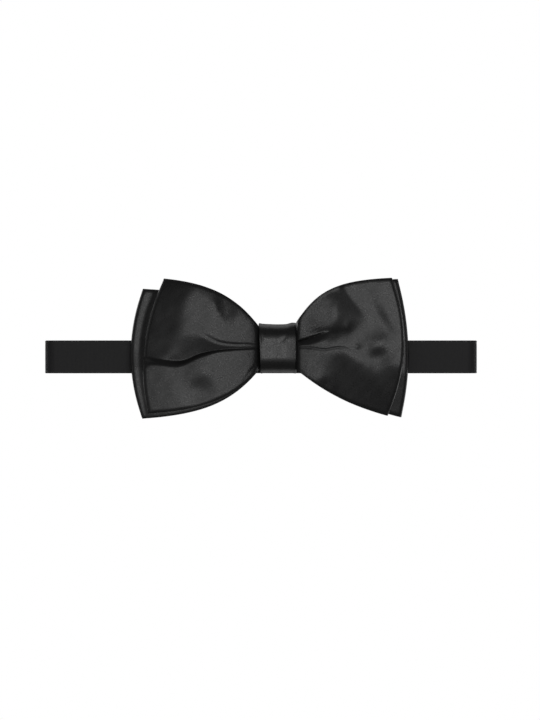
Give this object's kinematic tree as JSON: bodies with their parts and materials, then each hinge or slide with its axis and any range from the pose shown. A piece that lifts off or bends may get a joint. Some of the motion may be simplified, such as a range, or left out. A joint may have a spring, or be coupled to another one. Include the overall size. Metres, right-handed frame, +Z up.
{
  "type": "bow tie",
  "caption": "Pre-tied black satin bow tie with a layered bow and a knot wrap on an adjustable ribbon neckband that fastens with a hook and eye.",
  "frame": {"origin": "middle of the knot's flat back, which lies on the collar button", "axes": "the bow faces -Y, +Z up as worn, +X along the bow to the right as seen from the front, +Y towards the neck"},
  "size_m": [0.1868, 0.0311, 0.0607],
  "materials": {
    "satin": "black satin, soft sheen",
    "ribbon": "black woven ribbon, matte",
    "interlining": "off-white sew-in interlining",
    "thread": "black sewing thread",
    "metal": "bright nickel-plated wire"
  },
  "bodies": {
    "bow": {"front_bow_satin": "satin", "front_bow_interlining": "interlining", "rear_bow_satin": "satin", "rear_bow_interlining": "interlining", "waist_binding": "thread", "knot_lining": "interlining", "knot_wrap": "satin", "knot_closing_thread": "thread"},
    "band_centre": {"neckband_centre": "ribbon"},
    "right_inner": {"neckband_right_inner": "ribbon"},
    "right_outer": {"neckband_right_outer": "ribbon", "neckband_right_fold": "ribbon"},
    "right_back_outer": {"neckband_right_back_outer": "ribbon"},
    "right_back_middle": {"neckband_right_back_middle": "ribbon"},
    "right_back_end": {"neckband_right_back_end": "ribbon"},
    "left_inner": {"neckband_left_inner": "ribbon"},
    "left_outer": {"neckband_left_outer": "ribbon", "neckband_left_fold": "ribbon"},
    "left_back_outer": {"neckband_left_back_outer": "ribbon"},
    "left_back_middle": {"neckband_left_back_middle": "ribbon"},
    "left_back_end": {"neckband_left_back_end": "ribbon", "hook_tack": "thread"},
    "hook": {"hook": "metal"},
    "eye": {"eye": "metal"},
    "slider": {"adjuster_slider": "metal", "slider_tab": "ribbon", "slider_tack": "thread"}
  },
  "joints": [
    {"name": "bow_slide", "type": "slide", "parent": "bow", "child": "band_centre", "axis": [1, 0, 0], "range_m": [-0.01, 0.01]},
    {"name": "band_open", "type": "hinge", "parent": "band_centre", "child": "right_inner", "pos_m": [0.027, -0.0018, -0.00365], "axis": [0, 0, 1], "range_deg": [0, 36]},
    {"name": "right_outer_bend", "type": "hinge", "parent": "right_inner", "child": "right_outer", "pos_m": [0.057, -0.0018, -0.00365], "axis": [0, 0, 1], "range_deg": [0, 36]},
    {"name": "right_fold_open", "type": "hinge", "parent": "right_outer", "child": "right_back_outer", "pos_m": [0.0815, 0.0026, -0.00365], "axis": [0, 0, 1], "range_deg": [-144, 0], "deforming": ["neckband_right_fold"]},
    {"name": "right_back_outer_bend", "type": "hinge", "parent": "right_back_outer", "child": "right_back_middle", "pos_m": [0.057, 0.007, -0.00365], "axis": [0, 0, 1], "range_deg": [0, 36]},
    {"name": "right_back_inner_bend", "type": "hinge", "parent": "right_back_middle", "child": "right_back_end", "pos_m": [0.027, 0.007, -0.00365], "axis": [0, 0, 1], "range_deg": [0, 36]},
    {"name": "left_inner_bend", "type": "hinge", "parent": "band_centre", "child": "left_inner", "pos_m": [-0.041, -0.0018, -0.00365], "axis": [0, 0, -1], "range_deg": [0, 36]},
    {"name": "left_outer_bend", "type": "hinge", "parent": "left_inner", "child": "left_outer", "pos_m": [-0.071, -0.0018, -0.00365], "axis": [0, 0, -1], "range_deg": [0, 36]},
    {"name": "left_fold_open", "type": "hinge", "parent": "left_outer", "child": "left_back_outer", "pos_m": [-0.0955, 0.0026, -0.00365], "axis": [0, 0, -1], "range_deg": [-144, 0], "deforming": ["neckband_left_fold"]},
    {"name": "left_back_outer_bend", "type": "hinge", "parent": "left_back_outer", "child": "left_back_middle", "pos_m": [-0.071, 0.007, -0.00365], "axis": [0, 0, -1], "range_deg": [0, 36]},
    {"name": "left_back_inner_bend", "type": "hinge", "parent": "left_back_middle", "child": "left_back_end", "pos_m": [-0.041, 0.007, -0.00365], "axis": [0, 0, -1], "range_deg": [0, 36]},
    {"name": "adjuster_slide", "type": "slide", "parent": "right_back_middle", "child": "slider", "axis": [1, 0, 0], "range_m": [-0.006, 0.009]},
    {"name": "hook_pivot", "type": "hinge", "parent": "left_back_end", "child": "hook", "pos_m": [-0.027, 0.0084, -0.00365], "axis": [0, 0, 1], "range_deg": [0, 60]},
    {"name": "eye_swing", "type": "hinge", "parent": "right_back_end", "child": "eye", "pos_m": [-0.0149, 0.0084, -0.00365], "axis": [0, 0, 1], "range_deg": [-4, 12]}
  ],
  "couplings": [
    {"joint": "right_outer_bend", "follows": "band_open", "ratio": 1},
    {"joint": "right_fold_open", "follows": "band_open", "ratio": -4},
    {"joint": "right_back_outer_bend", "follows": "band_open", "ratio": 1},
    {"joint": "right_back_inner_bend", "follows": "band_open", "ratio": 1},
    {"joint": "left_inner_bend", "follows": "band_open", "ratio": 1},
    {"joint": "left_outer_bend", "follows": "band_open", "ratio": 1},
    {"joint": "left_fold_open", "follows": "band_open", "ratio": -4},
    {"joint": "left_back_outer_bend", "follows": "band_open", "ratio": 1},
    {"joint": "left_back_inner_bend", "follows": "band_open", "ratio": 1}
  ]
}
